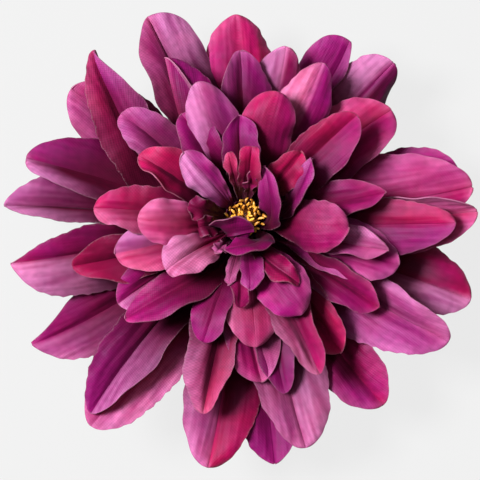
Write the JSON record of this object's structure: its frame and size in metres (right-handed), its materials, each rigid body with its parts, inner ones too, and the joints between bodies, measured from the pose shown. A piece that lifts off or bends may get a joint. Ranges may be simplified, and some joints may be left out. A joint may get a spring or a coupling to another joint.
{
  "type": "artificial dahlia flower head",
  "caption": "Cloth dahlia flower head with layers of folded petals on a moulded calyx around yellow stamens, lying on its back for display or craft work.",
  "frame": {"origin": "middle of the calyx's flat back, on which the head rests", "axes": "+Z out of the flower's face along the pin that carries the petal layers, +Y towards the top of the flower as pictured, +X to its right"},
  "size_m": [0.1476, 0.1419, 0.0578],
  "materials": {
    "petal_cloth": "woven polyester dyed purple and crimson, stiffened and heat-set, satin",
    "stamen_plastic": "moulded, golden yellow",
    "calyx_plastic": "moulded, leaf green"
  },
  "bodies": {
    "root": {"calyx": "calyx_plastic", "petal_layer_1_back": "petal_cloth", "petal_layer_2": "petal_cloth", "petal_layer_3": "petal_cloth", "petal_layer_4": "petal_cloth", "petal_layer_5": "petal_cloth", "petal_layer_6_inner": "petal_cloth", "stamens": "stamen_plastic"}
  },
  "joints": []
}
